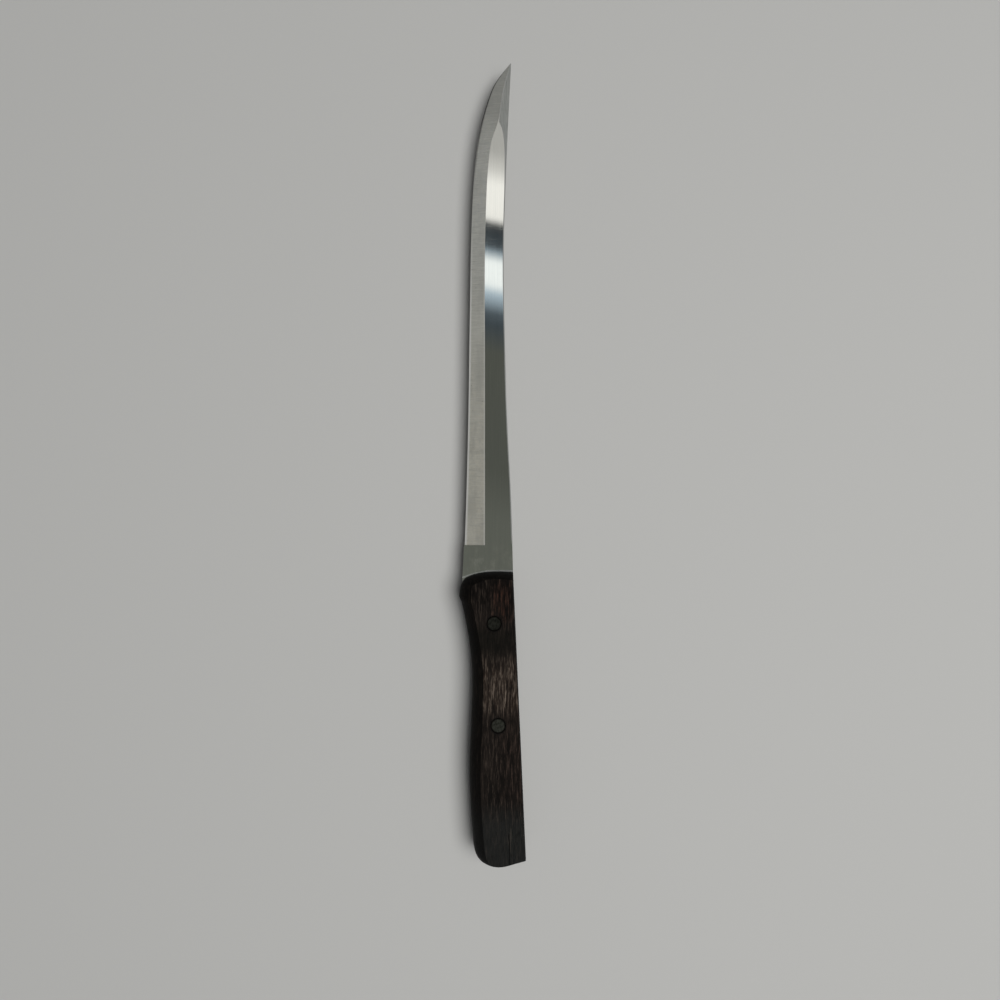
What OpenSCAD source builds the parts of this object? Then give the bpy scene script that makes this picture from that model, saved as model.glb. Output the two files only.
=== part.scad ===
// Carving knife with a full tang, two wooden scales and two compression rivets.
// It lies flat on its right side: X runs from butt to tip, Y from spine to edge, Z up.
// The origin is under the middle of the knife, on the surface that it lies on.

/* [Blade] */
// Length of the blade, from the front of the handle to the tip
blade_length = 203.2; // [170:0.1:250]
// Height of the blade at its heel
heel_height = 20.2; // [18:0.1:24]
// Thickness of the steel in the tang and the heel
steel_thickness = 1.6; // [1.2:0.1:2.4]
// Thickness that the polished flats run down to at the tip
tip_thickness = 1.0; // [0.8:0.1:1.1]
// Thickness left at the cutting edge
edge_thickness = 0.16; // [0.1:0.02:0.3]
// Length of the blunt steel between the handle and the square end of the grind
ricasso_length = 10.8; // [8:0.1:16]

/* [Handle] */
// Length of the handle, from its front to the furthest point of the butt
handle_length = 114.5; // [105:0.1:130]
// Thickness over both scales and the tang
handle_thickness = 16; // [15:0.1:20]
// Width of the slope along the finger side of each scale
belly_slope = 4.5; // [2:0.1:5]
// Length of the slope at the front of each scale
front_slope = 2.4; // [1:0.1:3.5]
// Width of the broken corner along the spine and the butt of each scale
corner_break = 0.4; // [0.2:0.1:0.8]

/* [Rivets] */
// Diameter of the rivet heads
head_diameter = 5.8; // [5.2:0.1:7]
// Thickness of the rivet heads
head_thickness = 1.3; // [1:0.1:1.8]
// Outer diameter of the rivet tubes
tube_diameter = 4.2; // [3.6:0.1:4.6]
// Diameter of the solid rivet pins
pin_diameter = 2.8; // [2.2:0.1:3]
// Distance from the front of the handle to the front rivet
front_rivet_setback = 19.3; // [16:0.1:24]
// Distance between the rivets
rivet_spacing = 39.7; // [30:0.1:70]

/* [Hidden] */
$fn = 64;

steel_colour = [0.68, 0.69, 0.68];
wood_colour = [0.17, 0.11, 0.08];
rivet_colour = [0.38, 0.38, 0.34];

// Profiles are drawn with x from the front of the handle towards the tip, and y towards the edge
// from a base line inside the blade
drawn_heel = 20.2;
guard_y = 16.2;
butt_spine_y = -10.2;
heel_spine_y = -5.2;

// Rivet places across the handle, a little nearer the spine than its middle
front_rivet_y = 2.3;
rear_rivet_y = 0.7;

// Running clearances and small details
bore_clearance = 0.05;
pin_clearance = 0.02;
head_recess = 0.1;
tube_end_gap = 0.6;
pin_end_gap = 0.5;
head_chamfer = 0.2;
land_height = 1;
ridge_land = 0.15;
tip_blunt = 0.3;
stations = 64;

mid_x = (blade_length - handle_length) / 2;
mid_y = (guard_y + butt_spine_y) / 2;
scale_thickness = (handle_thickness - steel_thickness) / 2;
grind_length = blade_length - ricasso_length;

// Blade curves, as [share of the blade's length, height] knots from heel to tip
spine_knots = [[0, -5.2], [0.148, -4.35], [0.305, -2.8], [0.453, -1.95],
    [0.615, -1.45], [0.787, -2.4], [1, -4.4]];
edge_knots = [[0, 14.9], [0.053, 14.1], [0.28, 12.75], [0.517, 12.0], [0.674, 11.4],
    [0.792, 10.1], [0.871, 8.0], [0.925, 5.0], [0.962, 1.8], [1, -4.1]];
shoulder_knots = [[0, 6.0], [0.4, 6.0], [0.6, 6.05], [0.714, 5.6], [0.792, 4.8],
    [0.846, 3.4], [0.888, 0.6], [0.945, -1.2], [1, -4.2]];
// Width of the swedge, the slope between the polished flat and the spine
swedge_knots = [[0, 0.4], [0.74, 0.4], [0.79, 0.6], [0.827, 0.9], [0.851, 1.45],
    [0.871, 2.3], [0.888, 3.8], [0.945, 2.5], [1, 0.1]];
// Share of the blade's length at which the flat runs out between the grind and the swedge
flat_end = 0.888;

// Handle curves, as [share of the handle's length, height] knots from guard to butt
belly_knots = [[-0.927, 10.65], [-0.805, 11.65], [-0.665, 12.08], [-0.525, 11.5],
    [-0.394, 11.0], [-0.308, 11.3], [-0.238, 12.2], [-0.168, 13.6], [-0.1, 15.3]];

function mix(a, b, t) = a + (b - a) * t;
function clamp01(t) = max(0, min(1, t));

// Slope of a knotted curve at knot i
function knot_slope(k, i) =
    let (a = k[max(0, i - 1)], b = k[min(len(k) - 1, i + 1)]) (b.y - a.y) / (b.x - a.x);

// Height of a smooth curve through knots k at x, with the knots in rising order of x
function height_at(k, x, i = 0) =
    i < len(k) - 2 && x > k[i + 1].x ? height_at(k, x, i + 1) :
    let (w = k[i + 1].x - k[i].x, t = clamp01((x - k[i].x) / w), t2 = t * t, t3 = t2 * t)
    (2 * t3 - 3 * t2 + 1) * k[i].y + (t3 - 2 * t2 + t) * w * knot_slope(k, i)
        + (3 * t2 - 2 * t3) * k[i + 1].y + (t3 - t2) * w * knot_slope(k, i + 1);

// Points of a cubic curve, without its first point
function cubic(a, b, c, d, steps) = [for (i = [1 : steps]) let (t = i / steps, s = 1 - t)
    s * s * s * a + 3 * s * s * t * b + 3 * s * t * t * c + t * t * t * d];

function share(x) = x / blade_length;
function tall(y) = heel_spine_y + (y - heel_spine_y) * heel_height / drawn_heel;
function spine_y(x) = tall(height_at(spine_knots, share(x)));
function edge_y(x) = max(tall(height_at(edge_knots, share(x))), spine_y(x) + tip_blunt);
function shoulder_y(x) = tall(height_at(shoulder_knots, share(x)));
function swedge_y(x) = min(spine_y(x) + height_at(swedge_knots, share(x)),
    shoulder_y(x) - ridge_land * (1 - 0.6 * clamp01((share(x) - flat_end) / (1 - flat_end))));

// Half thickness of the polished flats, which taper evenly, then of the ridge that runs to the tip
function flat_z(x) = mix(steel_thickness, tip_thickness, (x - ricasso_length) / grind_length) / 2;
function ridge_z(x) = share(x) <= flat_end ? flat_z(x) :
    mix(flat_z(flat_end * blade_length), 0.6 * edge_thickness,
        (share(x) - flat_end) / (1 - flat_end));
// The spine's corners are broken by a fifth of a millimetre, and thin out along the swedge
function spine_z(x) = mix(flat_z(x) - 0.2 * clamp01((x - ricasso_length) / 15),
    0.5 * edge_thickness, clamp01((share(x) - 0.77) / 0.2));

// Stations along the ground blade, closer together towards the tip
function station(i) = ricasso_length + grind_length * (1 - pow(1 - i / stations, 1.45));

function blade_section(x) =
    let (s = spine_y(x), w = swedge_y(x), h = shoulder_y(x), e = edge_y(x),
        zs = spine_z(x), z = ridge_z(x), ze = edge_thickness / 2)
    [[x, s, -zs], [x, w, -z], [x, h, -z], [x, e, -ze], [x, e, ze], [x, h, z], [x, w, z], [x, s, zs]];

// The ground blade starts a millimetre inside the ricasso, with a thinner copy of its first section
function grind_root() = [for (p = blade_section(ricasso_length)) [p.x - 1, p.y, 0.6 * p.z]];

// A solid through closed rings of equal length, given in order, each counter-clockwise seen from
// beyond the last one
module loft(rings) {
    n = len(rings[0]);
    last = len(rings) - 1;
    polyhedron(
        points = [for (r = rings) each r],
        faces = [
            [for (j = [0 : n - 1]) j],
            [for (j = [0 : n - 1]) last * n + n - 1 - j],
            for (i = [0 : last - 1], j = [0 : n - 1])
                let (a = i * n + j, b = i * n + (j + 1) % n)
                each [[a, a + n, b + n], [a, b + n, b]]
        ],
        convexity = 6);
}

// Outline of the handle, drawn in by share k of its slopes: 0 at the tang, 1 at the flat face
function handle_outline(k) =
    let (
        l = handle_length,
        low = -belly_slope * k,
        fore = -front_slope * k,
        back = corner_break * pow(k, 3),
        heel = [fore, heel_spine_y + back],
        corner = [-2.2 + 0.85 * fore, 13.6 + 0.78 * low],
        guard = [-9.2 - 0.5 * k, guard_y + 1.12 * low],
        belly_front = [-0.1 * l - 1.6 * k, 15.3 + 1.03 * low],
        belly_end = [-0.927 * l, 10.65 + low],
        butt = [-l + back, 5 + low],
        spine_end = [-0.979 * l + back, butt_spine_y + back]
    ) concat(
        [heel],
        cubic(heel, heel + [0.7, 6.2], corner + [2.8, -4.8], corner, 14),
        cubic(corner, corner + [-0.9, 1.7], guard + [3.1, -0.15], guard, 8),
        cubic(guard, guard + [-0.7 - k, 0], belly_front + [0.9, 0.55 - 0.35 * k], belly_front, 6),
        [for (i = [1 : 34]) let (t = i / 34, s = mix(-0.1, -0.927, t))
            [s * l - 1.6 * k * (1 - t), height_at(belly_knots, s) + low * mix(1.03, 1, t)]],
        cubic(belly_end, [-0.965 * l, 10.2 + low], [-l + back, 9.6 + low], butt, 12),
        cubic(butt, butt + [0, -3], spine_end + [-1.5, 6], spine_end, 6)
    );

// The tang fills the handle's outline, and the ricasso joins it to the ground blade
module steel_plate() {
    translate([0, 0, -steel_thickness / 2])
        linear_extrude(steel_thickness)
            union() {
                polygon(handle_outline(0));
                polygon([[-6, spine_y(0)], [0.2, spine_y(0)],
                    for (i = [1 : 4]) [ricasso_length * i / 4, spine_y(ricasso_length * i / 4)],
                    [ricasso_length, tall(14.4)], [-2.1, tall(15)], [-6, tall(14.9)]]);
            }
}

module rivet_places() {
    translate([-front_rivet_setback, front_rivet_y, 0]) children();
    translate([-front_rivet_setback - rivet_spacing, rear_rivet_y, 0]) children();
}

// Moves a piece drawn about the blade's middle plane to where the knife lies
module lie_flat() {
    translate([-mid_x, -mid_y, handle_thickness / 2]) children();
}

module blade() {
    color(steel_colour)
        lie_flat()
            difference() {
                union() {
                    steel_plate();
                    loft([grind_root(), for (i = [0 : stations]) blade_section(station(i))]);
                }
                rivet_places()
                    translate([0, 0, -steel_thickness])
                        cylinder(d = tube_diameter + 2 * bore_clearance, h = 2 * steel_thickness);
            }
}

// One scale, drawn on the side above the tang. The sloped solid runs past both of the scale's
// flat faces, and a slab cuts it to them.
module scale_blank() {
    slope_height = scale_thickness - land_height;
    // Each step gives the share of the slope drawn in and the share of its height
    steps = [[0, 0], [0.07, 0.2], [0.2, 0.4], [0.38, 0.58], [0.58, 0.74], [0.79, 0.88], [1.21, 1.12]];
    intersection() {
        loft(concat(
            [[for (p = handle_outline(0)) [p.x, p.y, 0]]],
            [for (s = steps) [for (p = handle_outline(s[0]))
                [p.x, p.y, steel_thickness / 2 + land_height + slope_height * s[1]]]]));
        translate([-1.5 * handle_length, -handle_length, steel_thickness / 2])
            cube([2 * handle_length, 2 * handle_length, scale_thickness]);
    }
}

module scale_bores() {
    face_z = handle_thickness / 2;
    rivet_places() {
        cylinder(d = tube_diameter + 2 * bore_clearance, h = handle_thickness);
        translate([0, 0, face_z - head_recess - head_thickness])
            cylinder(d = head_diameter + 2 * bore_clearance, h = handle_thickness);
    }
}

module scale_half() {
    difference() {
        scale_blank();
        scale_bores();
    }
}

module left_scale() {
    color(wood_colour) lie_flat() scale_half();
}

module right_scale() {
    color(wood_colour) lie_flat() mirror([0, 0, 1]) scale_half();
}

// A rivet head whose outer corner is broken, with its outer face at z = 0 and its body below
module rivet_head() {
    translate([0, 0, -head_chamfer])
        cylinder(d1 = head_diameter, d2 = head_diameter - 2 * head_chamfer, h = head_chamfer);
    translate([0, 0, -head_thickness])
        cylinder(d = head_diameter, h = head_thickness - head_chamfer);
}

// The tube half goes in from the left face, with its blind bore open towards the pin half
module rivet_tube() {
    head_z = handle_thickness / 2 - head_recess;
    tube_end_z = -head_z + head_thickness + tube_end_gap;
    difference() {
        union() {
            translate([0, 0, head_z]) rivet_head();
            translate([0, 0, tube_end_z])
                cylinder(d = tube_diameter, h = head_z - head_thickness - tube_end_z);
        }
        translate([0, 0, tube_end_z - 1])
            cylinder(d = pin_diameter + 2 * pin_clearance,
                h = head_z - head_thickness - tube_end_z + 1);
    }
}

// The pin half goes in from the right face and is pressed into the tube
module rivet_pin() {
    head_z = handle_thickness / 2 - head_recess;
    pin_end_z = head_z - head_thickness - pin_end_gap;
    mirror([0, 0, 1]) translate([0, 0, head_z]) rivet_head();
    translate([0, 0, -head_z + head_thickness])
        cylinder(d = pin_diameter, h = pin_end_z + head_z - head_thickness);
}

module at_front_rivet() {
    lie_flat() translate([-front_rivet_setback, front_rivet_y, 0]) children();
}

module at_rear_rivet() {
    lie_flat() translate([-front_rivet_setback - rivet_spacing, rear_rivet_y, 0]) children();
}

module front_rivet_tube() {
    color(rivet_colour) at_front_rivet() rivet_tube();
}

module front_rivet_pin() {
    color(rivet_colour) at_front_rivet() rivet_pin();
}

module rear_rivet_tube() {
    color(rivet_colour) at_rear_rivet() rivet_tube();
}

module rear_rivet_pin() {
    color(rivet_colour) at_rear_rivet() rivet_pin();
}

blade();
left_scale();
right_scale();
front_rivet_tube();
front_rivet_pin();
rear_rivet_tube();
rear_rivet_pin();
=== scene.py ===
"""Looks of the carving knife: blade, scales and rivets, on a pale floor seen from straight above."""

import math

import bmesh
import bpy
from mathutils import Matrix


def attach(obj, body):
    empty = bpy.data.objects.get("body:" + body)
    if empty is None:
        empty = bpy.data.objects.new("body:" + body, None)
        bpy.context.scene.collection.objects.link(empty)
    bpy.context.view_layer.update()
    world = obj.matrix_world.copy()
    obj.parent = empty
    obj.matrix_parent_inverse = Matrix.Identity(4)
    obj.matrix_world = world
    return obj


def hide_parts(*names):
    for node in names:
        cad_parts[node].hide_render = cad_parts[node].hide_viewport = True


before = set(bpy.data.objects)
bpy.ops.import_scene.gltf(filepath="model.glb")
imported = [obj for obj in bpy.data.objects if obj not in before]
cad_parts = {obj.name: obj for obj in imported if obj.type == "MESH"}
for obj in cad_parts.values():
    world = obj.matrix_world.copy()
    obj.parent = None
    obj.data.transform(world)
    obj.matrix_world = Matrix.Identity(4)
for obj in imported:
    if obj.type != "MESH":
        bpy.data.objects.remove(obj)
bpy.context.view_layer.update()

MM = 0.001

# Camera of the photograph: it looks straight down, with its foot 28.8 mm in front of the handle
CAMERA_FORWARD = 28.8 * MM
CAMERA_ABOVE_BLADE = 288.7 * MM
CAMERA_LENS = 26.0
CAMERA_SENSOR = 36.0

# Driving dimensions of the knife, as in the part's source
BLADE_LENGTH = 203.2
HANDLE_LENGTH = 114.5
HANDLE_THICKNESS = 16.0
GUARD_Y = 16.2
BUTT_SPINE_Y = -10.2
MIDDLE_X = (BLADE_LENGTH - HANDLE_LENGTH) / 2
MIDDLE_Y = (GUARD_Y + BUTT_SPINE_Y) / 2
FRONT_RIVET = (-19.3, 2.3)
REAR_RIVET = (-59.0, 0.7)
HEAD_RADIUS = 2.9

# Height of the crack at the butt, read from the photograph
CRACK_Y = -3.6
# Rough course of the handle's front, which the part's source draws as splines: it falls back
# by the square of the distance past this height, times the bow
FRONT_BOW_START = 2.0
FRONT_BOW = 0.0155

# Blade curves, as (share of the blade's length, height) from heel to tip
EDGE = ((0, 14.9), (0.053, 14.1), (0.28, 12.75), (0.517, 12.0), (0.674, 11.4),
        (0.792, 10.1), (0.871, 8.0), (0.925, 5.0), (0.962, 1.8), (1, -4.1))
SHOULDER = ((0, 6.0), (0.4, 6.0), (0.6, 6.05), (0.714, 5.6), (0.792, 4.8), (0.846, 3.4),
            (0.888, 0.6), (0.945, -1.2), (1, -4.2))


def curve_height(knots, x):
    """Height of the smooth curve through the knots at x, as the part's source draws it."""
    i = 0
    while i < len(knots) - 2 and x > knots[i + 1][0]:
        i += 1

    def slope(k):
        a, b = knots[max(0, k - 1)], knots[min(len(knots) - 1, k + 1)]
        return (b[1] - a[1]) / (b[0] - a[0])

    w = knots[i + 1][0] - knots[i][0]
    t = min(1, max(0, (x - knots[i][0]) / w))
    return ((2 * t**3 - 3 * t**2 + 1) * knots[i][1] + (t**3 - 2 * t**2 + t) * w * slope(i)
            + (3 * t**2 - 2 * t**3) * knots[i + 1][1] + (t**3 - t**2) * w * slope(i + 1))


def place(forward, up, z=0.0):
    """Frame position of a point given forward of the handle's front and towards the edge, in mm."""
    return ((forward - MIDDLE_X) * MM, (up - MIDDLE_Y) * MM, z * MM)


class Nodes:
    """Short calls for building one material's nodes."""

    def __init__(self, name):
        self.material = bpy.data.materials.new(name)
        self.material.use_nodes = True
        self.tree = self.material.node_tree
        self.tree.nodes.clear()
        self.output = self.tree.nodes.new("ShaderNodeOutputMaterial")
        self.shader = self.tree.nodes.new("ShaderNodeBsdfPrincipled")
        self.tree.links.new(self.shader.outputs[0], self.output.inputs["Surface"])
        self.position = self.tree.nodes.new("ShaderNodeTexCoord").outputs["Object"]

    def link(self, value, socket):
        if isinstance(value, bpy.types.NodeSocket):
            self.tree.links.new(value, socket)
        elif isinstance(value, tuple) and socket.type == "RGBA":
            socket.default_value = (*value[:3], 1.0)
        else:
            socket.default_value = value

    def set(self, **sockets):
        for name, value in sockets.items():
            self.link(value, self.shader.inputs[name.replace("_", " ")])

    def math(self, operation, a, b=0.0, c=0.0, clamp=False):
        node = self.tree.nodes.new("ShaderNodeMath")
        node.operation = operation
        node.use_clamp = clamp
        for value, socket in zip((a, b, c), node.inputs):
            self.link(value, socket)
        return node.outputs[0]

    def axis(self, name, source=None):
        node = self.tree.nodes.new("ShaderNodeSeparateXYZ")
        self.link(source or self.position, node.inputs[0])
        return node.outputs[name]

    def stretched(self, x, y, z, shift=(0.0, 0.0, 0.0)):
        """Position scaled by so many units per millimetre along each axis."""
        node = self.tree.nodes.new("ShaderNodeMapping")
        self.link(self.position, node.inputs["Vector"])
        node.inputs["Scale"].default_value = (x / MM, y / MM, z / MM)
        node.inputs["Location"].default_value = shift
        return node.outputs[0]

    def noise(self, where, detail=3.0, roughness=0.55, distortion=0.0):
        node = self.tree.nodes.new("ShaderNodeTexNoise")
        self.link(where, node.inputs["Vector"])
        node.inputs["Scale"].default_value = 1.0
        node.inputs["Detail"].default_value = detail
        node.inputs["Roughness"].default_value = roughness
        node.inputs["Distortion"].default_value = distortion
        return node.outputs[0]

    def span(self, value, low, high, to_low=0.0, to_high=1.0):
        """Value mapped smoothly from low..high to to_low..to_high and held there outside."""
        node = self.tree.nodes.new("ShaderNodeMapRange")
        node.interpolation_type = "SMOOTHSTEP"
        for v, s in zip((value, low, high, to_low, to_high), node.inputs):
            self.link(v, s)
        return node.outputs[0]

    def band(self, value, start, end, soft):
        """1 between start and end, fading to 0 over soft on both sides."""
        return self.math("MULTIPLY", self.span(value, start - soft, start + soft),
                         self.span(value, end - soft, end + soft, 1.0, 0.0))

    def mix(self, share, a, b, blend="MIX"):
        node = self.tree.nodes.new("ShaderNodeMix")
        node.data_type = "RGBA"
        node.blend_type = blend
        self.link(share, node.inputs[0])
        self.link(a, node.inputs[6])
        self.link(b, node.inputs[7])
        return node.outputs[2]

    def distance(self, point):
        """Distance from the vertical line through a frame point, in mm."""
        dx = self.math("SUBTRACT", self.axis("X"), point[0])
        dy = self.math("SUBTRACT", self.axis("Y"), point[1])
        square = self.math("ADD", self.math("MULTIPLY", dx, dx), self.math("MULTIPLY", dy, dy))
        return self.math("DIVIDE", self.math("SQRT", square), MM)

    def attribute(self, name):
        node = self.tree.nodes.new("ShaderNodeAttribute")
        node.attribute_name = name
        return node.outputs["Fac"]

    def bump(self, height, depth_mm, strength=1.0):
        node = self.tree.nodes.new("ShaderNodeBump")
        node.inputs["Strength"].default_value = strength
        node.inputs["Distance"].default_value = depth_mm * MM
        self.link(height, node.inputs["Height"])
        self.link(node.outputs[0], self.shader.inputs["Normal"])


def forward_mm(n):
    """Distance forward of the handle's front, in mm."""
    return n.math("ADD", n.math("DIVIDE", n.axis("X"), MM), MIDDLE_X)


def up_mm(n):
    """Distance towards the edge from the blade's base line, in mm."""
    return n.math("ADD", n.math("DIVIDE", n.axis("Y"), MM), MIDDLE_Y)


def polished_steel():
    """The blade's flats: polished along the blade, faintly scratched, stained near the handle."""
    n = Nodes("blade_flat_polished")
    forward = forward_mm(n)
    up = up_mm(n)
    hairlines = n.noise(n.stretched(0.05, 7.0, 1.0), detail=4.0)
    cross_scratches = n.noise(n.stretched(5.0, 0.12, 1.0, (3.0, 1.0, 0.0)), detail=2.0)
    smudges = n.noise(n.stretched(0.20, 0.30, 1.0), detail=4.0, distortion=0.4)
    near_handle = n.span(forward, 13.0, 5.0)
    stain = n.math("MULTIPLY", n.span(smudges, 0.42, 0.72), near_handle)
    colour = n.mix(n.span(hairlines, 0.35, 0.65), (0.57, 0.585, 0.57), (0.62, 0.63, 0.61))
    colour = n.mix(n.math("MULTIPLY", stain, 0.5), colour, (0.78, 0.77, 0.73))
    # A line of bare bright steel follows the handle's front, which falls back towards the edge
    past_bow_start = n.math("MAXIMUM", n.math("SUBTRACT", up, FRONT_BOW_START), 0.0)
    fall_back = n.math("MULTIPLY", n.math("POWER", past_bow_start, 2.0), FRONT_BOW)
    past_front = n.math("ADD", forward, fall_back)
    wiped = n.math("MULTIPLY", n.band(past_front, 0.2, 0.8, 0.2), n.span(up, 10.0, 4.0, 0.4, 1.0))
    rough = n.math("ADD", n.span(hairlines, 0.3, 0.7, 0.03, 0.055),
                   n.span(cross_scratches, 0.62, 0.72, 0.0, 0.04))
    rough = n.math("ADD", rough, n.math("MULTIPLY", stain, 0.10))
    rough = n.math("ADD", rough, n.math("MULTIPLY", wiped, 0.45))
    n.set(Base_Color=colour, Metallic=1.0, Roughness=rough)
    n.bump(hairlines, 0.0004)
    return n.material


def ground_steel():
    """The wide edge bevel: ground across the blade, with painted highlights along the edge and the
    shoulder, and scattered specks.
    """
    n = Nodes("blade_bevel_ground")
    across = n.attribute("across")
    forward = forward_mm(n)
    grind = n.noise(n.stretched(9.0, 0.22, 1.0), detail=3.0, roughness=0.7)
    coarse_grind = n.noise(n.stretched(0.7, 0.10, 1.0), detail=3.0)
    along = n.noise(n.stretched(0.10, 4.0, 1.0), detail=3.0)
    mottle = n.noise(n.stretched(0.9, 1.2, 1.0), detail=4.0)
    blotches = n.noise(n.stretched(0.07, 0.22, 1.0), detail=3.0)
    specks = n.noise(n.stretched(1.3, 1.6, 1.0, (5.0, 2.0, 0.0)), detail=2.0)
    warm = n.span(forward, 150.0, 30.0)
    colour = n.mix(warm, (0.44, 0.445, 0.42), (0.65, 0.62, 0.52))
    colour = n.mix(n.span(mottle, 0.35, 0.65, 0.0, 0.5), colour, (0.52, 0.51, 0.45))
    colour = n.mix(n.span(grind, 0.35, 0.68, 0.0, 0.5), colour, (0.76, 0.75, 0.69))
    colour = n.mix(n.span(coarse_grind, 0.5, 0.75, 0.0, 0.25), colour, (0.32, 0.315, 0.28))
    colour = n.mix(n.span(specks, 0.73, 0.76, 0.0, 0.7), colour, (0.09, 0.08, 0.07))
    colour = n.mix(n.span(blotches, 0.45, 0.70, 0.0, 0.3), colour, (0.32, 0.32, 0.29))
    colour = n.mix(n.span(forward, 165.0, 190.0, 0.0, 0.4), colour, (0.22, 0.22, 0.20))
    # Painted highlights run along the edge and the shoulder, and towards the tip the edge is dark
    at_edge = n.span(across, 0.86, 0.95)
    at_shoulder = n.span(across, 0.11, 0.02)
    painted_edge_highlight = n.math("MULTIPLY", at_edge, n.span(forward, 150.0, 90.0, 0.0, 0.7))
    painted_shoulder_highlight = n.math("MULTIPLY", at_shoulder, n.span(forward, 150.0, 90.0, 0.0, 0.4))
    colour = n.mix(n.math("MAXIMUM", painted_edge_highlight, painted_shoulder_highlight), colour, (0.95, 0.94, 0.90))
    dark_edge = n.math("MULTIPLY", at_edge, n.span(forward, 145.0, 185.0, 0.0, 0.85))
    colour = n.mix(dark_edge, colour, (0.05, 0.05, 0.05))
    rough = n.math("ADD", n.span(grind, 0.3, 0.7, 0.44, 0.36), n.span(along, 0.4, 0.7, 0.0, 0.05))
    n.set(Base_Color=colour, Metallic=1.0, Roughness=rough, Anisotropic=0.4)
    height = n.math("ADD", grind, n.math("MULTIPLY", along, 0.4))
    n.bump(height, 0.003)
    return n.material


def spine_steel():
    """Spine, swedge and the other narrow sides: satin, brushed along the blade."""
    n = Nodes("blade_side_satin")
    hairlines = n.noise(n.stretched(0.1, 8.0, 8.0), detail=4.0)
    patches = n.noise(n.stretched(0.12, 0.3, 0.3), detail=3.0)
    colour = n.mix(n.span(hairlines, 0.3, 0.7), (0.37, 0.38, 0.36), (0.56, 0.57, 0.54))
    colour = n.mix(n.span(patches, 0.55, 0.75, 0.0, 0.35), colour, (0.21, 0.21, 0.19))
    colour = n.mix(n.span(forward_mm(n), 165.0, 190.0, 0.0, 0.25), colour, (0.22, 0.22, 0.20))
    n.set(Base_Color=colour, Metallic=1.0, Roughness=n.span(hairlines, 0.3, 0.7, 0.36, 0.28))
    n.bump(hairlines, 0.003)
    return n.material


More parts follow.
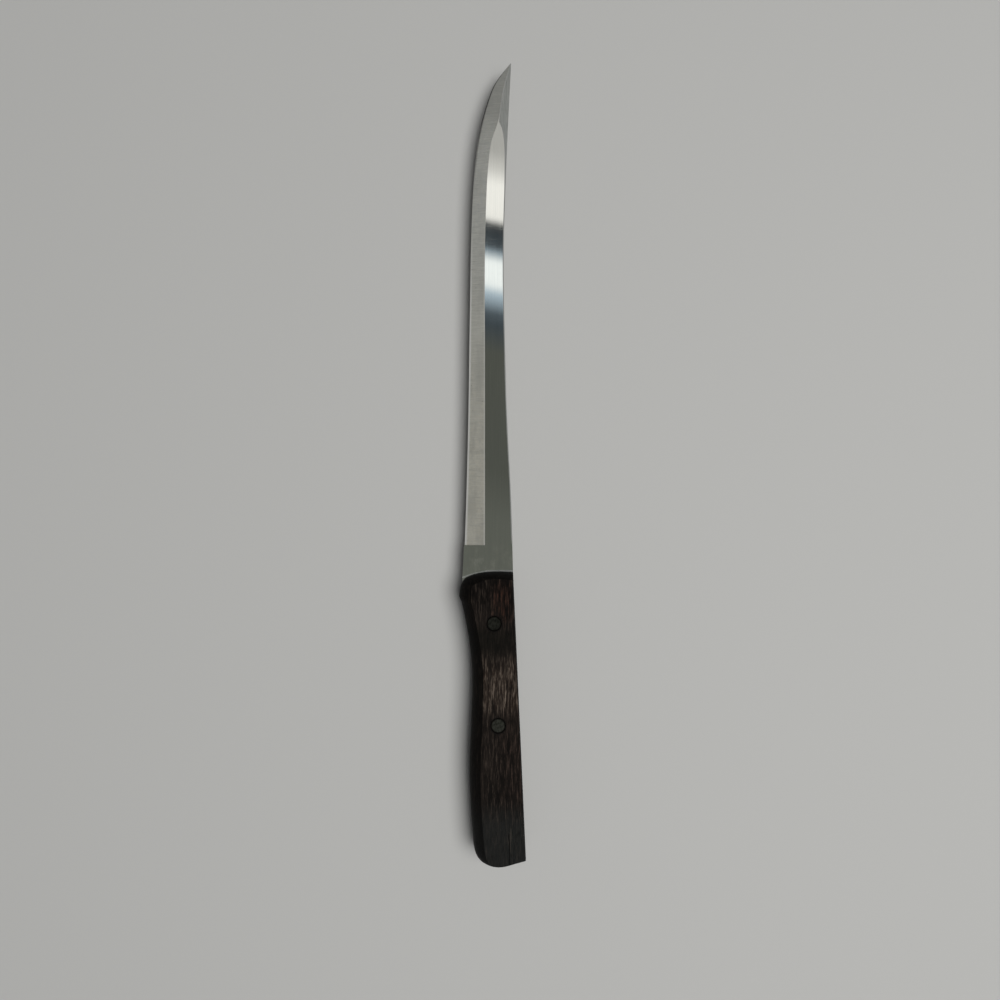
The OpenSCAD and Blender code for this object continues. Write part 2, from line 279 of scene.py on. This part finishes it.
def dark_wood(name, painted_shade):
    """Old dark hardwood with a worn patch at the grip that carries painted glints, and a crack at the
    butt; the second argument's share of painted shade darkens it and takes away sheen.
    """
    n = Nodes(name)
    forward = forward_mm(n)
    up = up_mm(n)
    fibres = n.noise(n.stretched(0.14, 1.5, 1.5), detail=6.0, roughness=0.7, distortion=0.15)
    fine = n.noise(n.stretched(0.22, 3.2, 3.2, (4.0, 0.0, 2.0)), detail=4.0, roughness=0.6)
    pores = n.noise(n.stretched(0.32, 7.5, 7.5, (1.0, 7.0, 0.0)), detail=2.0)
    clouds = n.noise(n.stretched(0.06, 0.16, 0.16), detail=4.0)
    worn_edge = n.noise(n.stretched(0.12, 0.5, 0.5, (2.0, 0.0, 0.0)), detail=4.0)

    streaks = n.math("MULTIPLY", n.span(fibres, 0.46, 0.64), n.span(fine, 0.42, 0.58, 0.25, 1.0))
    reddish = n.math("MULTIPLY", n.band(forward, -19.0, -3.0, 3.0), n.band(up, -4.5, 3.0, 2.0))
    russet = n.math("MULTIPLY", n.band(forward, -92.0, -44.0, 8.0), n.span(up, 3.0, -4.0))
    worn = n.math("MULTIPLY", n.band(forward, -53.0, -34.0, 4.0), n.span(worn_edge, 0.3, 0.62))
    # Under the painted shade the worn patch and its painted glints fade out
    worn = n.math("MULTIPLY", worn, 1.0 - 0.8 * painted_shade)
    smooth_dark = n.band(forward, -31.0, -21.0, 3.0)
    butt = n.span(forward, -86.0, -100.0)

    colour = n.mix(n.span(clouds, 0.3, 0.7), (0.0030, 0.0023, 0.0018), (0.0085, 0.0064, 0.0052))
    colour = n.mix(n.math("MULTIPLY", n.span(forward, -20.0, -8.0), 0.9), colour,
                   (0.0016, 0.0010, 0.0007))
    colour = n.mix(n.math("MULTIPLY", streaks, 0.9), colour, (0.048, 0.037, 0.030))
    colour = n.mix(n.math("MULTIPLY", reddish, streaks), colour, (0.036, 0.014, 0.009))
    colour = n.mix(n.math("MULTIPLY", russet, n.math("MULTIPLY", streaks, 0.5)), colour,
                   (0.046, 0.026, 0.021))
    colour = n.mix(n.math("MULTIPLY", worn, 0.6), colour, (0.026, 0.017, 0.013))
    # Painted glints: bright streaks of sheen painted into the worn patch's colour
    painted_glint = n.math("MULTIPLY", n.span(fibres, 0.44, 0.62), n.span(fine, 0.40, 0.60, 0.15, 1.0))
    colour = n.mix(n.math("MULTIPLY", worn, painted_glint), colour, (0.185, 0.150, 0.120))
    colour = n.mix(n.math("MULTIPLY", smooth_dark, 0.7), colour, (0.0036, 0.0034, 0.0025))
    colour = n.mix(n.math("MULTIPLY", butt, 0.62), colour, (0.0135, 0.0150, 0.0145))
    colour = n.mix(n.span(pores, 0.56, 0.68, 0.0, 0.75), colour, (0.0025, 0.0020, 0.0017))
    # Painted shade: the slopes and sides are darkened as if turned away from the light
    colour = n.mix(0.7 * painted_shade, colour, (0.0012, 0.0011, 0.0010))

    # The crack runs in from the butt, with a lighter lip on its spine side
    wander = n.math("MULTIPLY", n.math("SUBTRACT", worn_edge, 0.5), 1.6)
    from_crack = n.math("SUBTRACT", up, n.math("ADD", wander, CRACK_Y))
    crack_reach = n.band(forward, -113.0, -101.0, 1.0)
    slit = n.math("MULTIPLY", n.band(from_crack, -0.14, 0.14, 0.08), crack_reach)
    lip = n.math("MULTIPLY", n.band(from_crack, -0.75, -0.3, 0.15), n.band(forward, -108.0, -99.0, 2.0))
    colour = n.mix(n.math("MULTIPLY", lip, 0.4), colour, (0.055, 0.048, 0.040))
    colour = n.mix(slit, colour, (0.0015, 0.0012, 0.0010))

    rings = None
    for rivet in (FRONT_RIVET, REAR_RIVET):
        ring = n.span(n.distance(place(*rivet)), HEAD_RADIUS + 0.1, HEAD_RADIUS + 0.9, 1.0, 0.0)
        rings = ring if rings is None else n.math("MAXIMUM", rings, ring)
    colour = n.mix(n.math("MULTIPLY", rings, 0.8), colour, (0.0030, 0.0025, 0.0022))

    rough = n.math("ADD", n.span(fibres, 0.3, 0.7, 0.50, 0.62), n.math("MULTIPLY", worn, 0.12))
    rough = n.math("ADD", rough, n.math("MULTIPLY", butt, -0.08))
    n.set(Base_Color=colour, Roughness=rough)
    # The painted shade also lowers the sheen
    n.shader.inputs["Specular IOR Level"].default_value = 0.1 - 0.06 * painted_shade
    height = n.math("ADD", n.math("MULTIPLY", fibres, 0.7), n.math("MULTIPLY", fine, 0.5))
    height = n.math("SUBTRACT", height, n.span(pores, 0.56, 0.68, 0.0, 0.9))
    height = n.math("SUBTRACT", height, n.math("MULTIPLY", slit, 3.0))
    n.bump(height, 0.07)
    return n.material


def aged_rivet(name, centre, tone):
    """Dull aged metal: scratched, darker towards the rim."""
    n = Nodes("rivet_aged_" + name)
    radius = n.distance(place(*centre))
    mottle = n.noise(n.stretched(0.9, 1.1, 1.0, (centre[0], 0.0, 0.0)), detail=5.0, roughness=0.65)
    scratches = n.noise(n.stretched(0.5, 9.0, 1.0, (centre[0], 3.0, 0.0)), detail=3.0)
    cross = n.noise(n.stretched(8.0, 0.8, 1.0, (centre[0], 1.0, 0.0)), detail=3.0)
    colour = n.mix(n.span(mottle, 0.32, 0.68), (0.026, 0.026, 0.021), (0.070, 0.072, 0.058))
    colour = n.mix(n.span(scratches, 0.6, 0.72, 0.0, 0.7), colour, (0.13, 0.13, 0.11))
    colour = n.mix(n.span(cross, 0.66, 0.76, 0.0, 0.5), colour, (0.012, 0.011, 0.009))
    colour = n.mix(n.span(radius, HEAD_RADIUS - 0.75, HEAD_RADIUS - 0.1, 0.0, 0.85), colour,
                   (0.006, 0.005, 0.004))
    colour = n.mix(1.0, colour, (tone, tone, tone), "MULTIPLY")
    n.set(Base_Color=colour, Metallic=1.0, Roughness=n.span(mottle, 0.3, 0.7, 0.36, 0.52))
    n.bump(n.math("ADD", mottle, n.math("MULTIPLY", scratches, 0.5)), 0.03)
    return n.material


WELD_DISTANCE = 0.002 * MM


def dressed_copy(node, sharp_angle):
    """A welded copy of a CAD node, smooth except along edges sharper than sharp_angle degrees."""
    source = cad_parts[node]
    mesh = bpy.data.meshes.new(node + "_dressed")
    bm = bmesh.new()
    bm.from_mesh(source.data)
    bmesh.ops.remove_doubles(bm, verts=bm.verts, dist=WELD_DISTANCE)
    bmesh.ops.recalc_face_normals(bm, faces=bm.faces)
    for face in bm.faces:
        face.smooth = True
    for edge in bm.edges:
        edge.smooth = edge.calc_face_angle(0.0) < math.radians(sharp_angle)
    bm.to_mesh(mesh)
    bm.free()
    piece = bpy.data.objects.new(node + "_dressed", mesh)
    bpy.context.scene.collection.objects.link(piece)
    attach(piece, "root")
    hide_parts(node)
    return piece


def share_across(x, y):
    """Where a point of the blade lies across it: 0 at the bevel's shoulder, 1 at the edge."""
    s = x / BLADE_LENGTH
    shoulder, edge = curve_height(SHOULDER, s), curve_height(EDGE, s)
    return max(-1.0, min(1.0, (y - shoulder) / max(edge - shoulder, 0.1)))


# Upright share of a face's normal from which it counts as a flat, a bevel or a scale's top
FLAT_UPRIGHT = 0.9995
BEVEL_UPRIGHT = 0.9
TOP_UPRIGHT = 0.95


def dress_blade():
    """The flats polished, the edge bevel ground, and every other side satin."""
    blade = dressed_copy("blade", 2.0)
    mesh = blade.data
    across = mesh.attributes.new("across", "FLOAT", "POINT")
    for i, vertex in enumerate(mesh.vertices):
        x, y = vertex.co.x / MM + MIDDLE_X, vertex.co.y / MM + MIDDLE_Y
        across.data[i].value = share_across(x, y)
    for material in (polished_steel(), ground_steel(), spine_steel()):
        mesh.materials.append(material)
    for face in mesh.polygons:
        normal = face.normal
        flat = abs(normal.z) > FLAT_UPRIGHT
        ground = not flat and abs(normal.z) > BEVEL_UPRIGHT and normal.y > 0
        face.material_index = 0 if flat else 1 if ground else 2


def dress_scales():
    """Both scales in the same wood, with painted shade making the slopes and sides darker than the flat
    faces.
    """
    # The second wood is the same wood with painted shade, for the slopes and sides
    wood = (dark_wood("scale_wood_dark", 0.0), dark_wood("scale_wood_painted_shade", 1.0))
    for node in ("left_scale", "right_scale"):
        scale = dressed_copy(node, 26.0)
        for material in wood:
            scale.data.materials.append(material)
        for face in scale.data.polygons:
            face.material_index = 0 if abs(face.normal.z) > TOP_UPRIGHT else 1


def dress_rivets():
    """Both halves of each rivet in one metal, darker on the front rivet."""
    for name, centre, tone in (("front", FRONT_RIVET, 0.6), ("rear", REAR_RIVET, 1.0)):
        metal = aged_rivet(name, centre, tone)
        for half in ("tube", "pin"):
            rivet = dressed_copy(f"{name}_rivet_{half}", 30.0)
            rivet.data.materials.append(metal)


def staged_sheet(name, low, high, z, material):
    """A level rectangle of the stage, from corner low to corner high."""
    mesh = bpy.data.meshes.new(name)
    corners = [(low[0], low[1], z), (high[0], low[1], z), (high[0], high[1], z), (low[0], high[1], z)]
    mesh.from_pydata(corners, [], [(0, 1, 2, 3)])
    sheet = bpy.data.objects.new(name, mesh)
    bpy.context.scene.collection.objects.link(sheet)
    mesh.materials.append(material)
    return sheet


# The point of the blade's middle plane straight below the camera
FOOT = place(CAMERA_FORWARD / MM, 0.0, HANDLE_THICKNESS / 2)
FLOOR_HALF_WIDTH = 3.0


def add_camera():
    data = bpy.data.cameras.new("camera")
    data.lens = CAMERA_LENS
    data.sensor_width = CAMERA_SENSOR
    data.clip_start = 0.01
    camera = bpy.data.objects.new("camera", data)
    camera.location = (FOOT[0], FOOT[1], FOOT[2] + CAMERA_ABOVE_BLADE)
    # The top of the picture is towards the tip
    camera.rotation_euler = (0.0, 0.0, math.radians(-90.0))
    bpy.context.scene.collection.objects.link(camera)
    bpy.context.scene.camera = camera


def add_floor():
    n = Nodes("floor_pale")
    n.set(Base_Color=(0.50, 0.50, 0.49), Roughness=0.7)
    low, high = (-FLOOR_HALF_WIDTH, -FLOOR_HALF_WIDTH), (FLOOR_HALF_WIDTH, FLOOR_HALF_WIDTH)
    staged_sheet("floor", low, high, 0.0, n.material)


COOL = (0.80, 0.98, 1.12)
PALE = (1.0, 1.03, 1.02)
WARM = (1.03, 1.0, 0.95)
MOSSY = (0.98, 1.02, 0.88)
# What the polished flat mirrors towards the camera, from the handle to the tip: a dark room
# and two windows, as (slope in degrees, tint, brightness) with even fades between the stops.
# They follow mean colours read along the flat in the photograph, condensed to four tints and
# rounded, and lie where the photograph has its bands for a viewer at the camera's place only.
MIRRORED = (
    (-9.0, MOSSY, 0.17), (-1.5, MOSSY, 0.16), (2.5, MOSSY, 0.12), (11.5, MOSSY, 0.12),
    (13.6, COOL, 0.09), (14.5, COOL, 0.14), (15.9, COOL, 0.75), (16.6, PALE, 1.38),
    (18.2, PALE, 1.42), (18.9, COOL, 0.5), (19.3, COOL, 0.10), (20.8, COOL, 0.04),
    (21.3, WARM, 1.32), (23.6, WARM, 1.36), (24.6, WARM, 0.90), (25.8, WARM, 0.61),
    (29.5, WARM, 0.6),
)
MIRRORED_HEIGHT = 0.6
MIRRORED_HALF_WIDTH = 0.07
MIRRORED_SLANT = 0.05
GLOW = 2.0


def mirrored_reach(slope):
    """How far past the camera's foot a level mirror shows the mirrored sheet at this slope."""
    return (CAMERA_ABOVE_BLADE + MIRRORED_HEIGHT) * math.tan(math.radians(slope))


def add_mirrored_room():
    """A sheet that only glossy surfaces see, so that it shapes reflections and not the light."""
    n = Nodes("mirrored_room")
    ramp = n.tree.nodes.new("ShaderNodeValToRGB")
    generated = n.position.node.outputs["Generated"]
    aslant = n.math("MULTIPLY", n.math("SUBTRACT", n.axis("Y", generated), 0.5), MIRRORED_SLANT)
    along = n.math("SUBTRACT", n.axis("X", generated), aslant)
    n.link(along, ramp.inputs["Fac"])
    n.set(Base_Color=(0.0, 0.0, 0.0), Emission_Color=ramp.outputs["Color"], Emission_Strength=GLOW)
    n.shader.inputs["Specular IOR Level"].default_value = 0.0
    first, last = mirrored_reach(MIRRORED[0][0]), mirrored_reach(MIRRORED[-1][0])
    stops = ramp.color_ramp.elements
    stops.remove(stops[1])
    for i, (slope, tint, brightness) in enumerate(MIRRORED):
        at = (mirrored_reach(slope) - first) / (last - first)
        stop = stops.new(at) if i else stops[0]
        stop.color = (*(c * brightness / GLOW for c in tint), 1.0)
    sheet = staged_sheet("mirrored_room", (FOOT[0] + first, FOOT[1] - MIRRORED_HALF_WIDTH),
                         (FOOT[0] + last, FOOT[1] + MIRRORED_HALF_WIDTH),
                         FOOT[2] + MIRRORED_HEIGHT, n.material)
    sheet.visible_camera = False
    sheet.visible_diffuse = False
    sheet.visible_shadow = False


# Soft daylight and a window's light come from the picture's right, tilted off the vertical
LIGHT_TILT = math.radians(23.0)
DAYLIGHT_SPREAD = math.radians(40.0)
DAYLIGHT_STRENGTH = 1.45
WINDOW_POWER = 4.6
WINDOW_SIZE = (0.80, 0.63)
WINDOW_DISTANCE = 1.0
WINDOW_SHIFT = -0.15
WORLD_LIGHT = 0.10
WORLD_SEEN = 0.46


def add_world():
    """A weak fill light, behind a paler backdrop that only the camera and mirrors see."""
    world = bpy.data.worlds.new("studio")
    world.use_nodes = True
    tree = world.node_tree
    background = tree.nodes["Background"]
    background.inputs["Color"].default_value = (0.98, 0.99, 1.0, 1.0)
    ray = tree.nodes.new("ShaderNodeLightPath")
    seen = tree.nodes.new("ShaderNodeMath")
    seen.operation = "MAXIMUM"
    strength = tree.nodes.new("ShaderNodeMapRange")
    strength.inputs["To Min"].default_value = WORLD_LIGHT
    strength.inputs["To Max"].default_value = WORLD_SEEN
    tree.links.new(ray.outputs["Is Camera Ray"], seen.inputs[0])
    tree.links.new(ray.outputs["Is Glossy Ray"], seen.inputs[1])
    tree.links.new(seen.outputs[0], strength.inputs["Value"])
    tree.links.new(strength.outputs["Result"], background.inputs["Strength"])
    bpy.context.scene.world = world


def add_lamp(name, kind, energy):
    """A lamp in the light's direction that glossy surfaces don't mirror."""
    data = bpy.data.lights.new(name, kind)
    data.energy = energy
    data.color = (1.0, 0.995, 0.98)
    lamp = bpy.data.objects.new(name, data)
    lamp.location = (WINDOW_SHIFT, -WINDOW_DISTANCE * math.sin(LIGHT_TILT),
                     WINDOW_DISTANCE * math.cos(LIGHT_TILT))
    lamp.rotation_euler = (LIGHT_TILT, 0.0, 0.0)
    lamp.visible_glossy = False
    bpy.context.scene.collection.objects.link(lamp)
    return data


def add_lights():
    add_world()
    daylight = add_lamp("daylight", "SUN", DAYLIGHT_STRENGTH)
    daylight.angle = DAYLIGHT_SPREAD
    window = add_lamp("window", "AREA", WINDOW_POWER)
    window.shape = "RECTANGLE"
    window.size, window.size_y = WINDOW_SIZE


add_camera()
add_floor()
add_lights()
add_mirrored_room()
dress_blade()
dress_scales()
dress_rivets()

bpy.context.scene.view_settings.view_transform = "Standard"
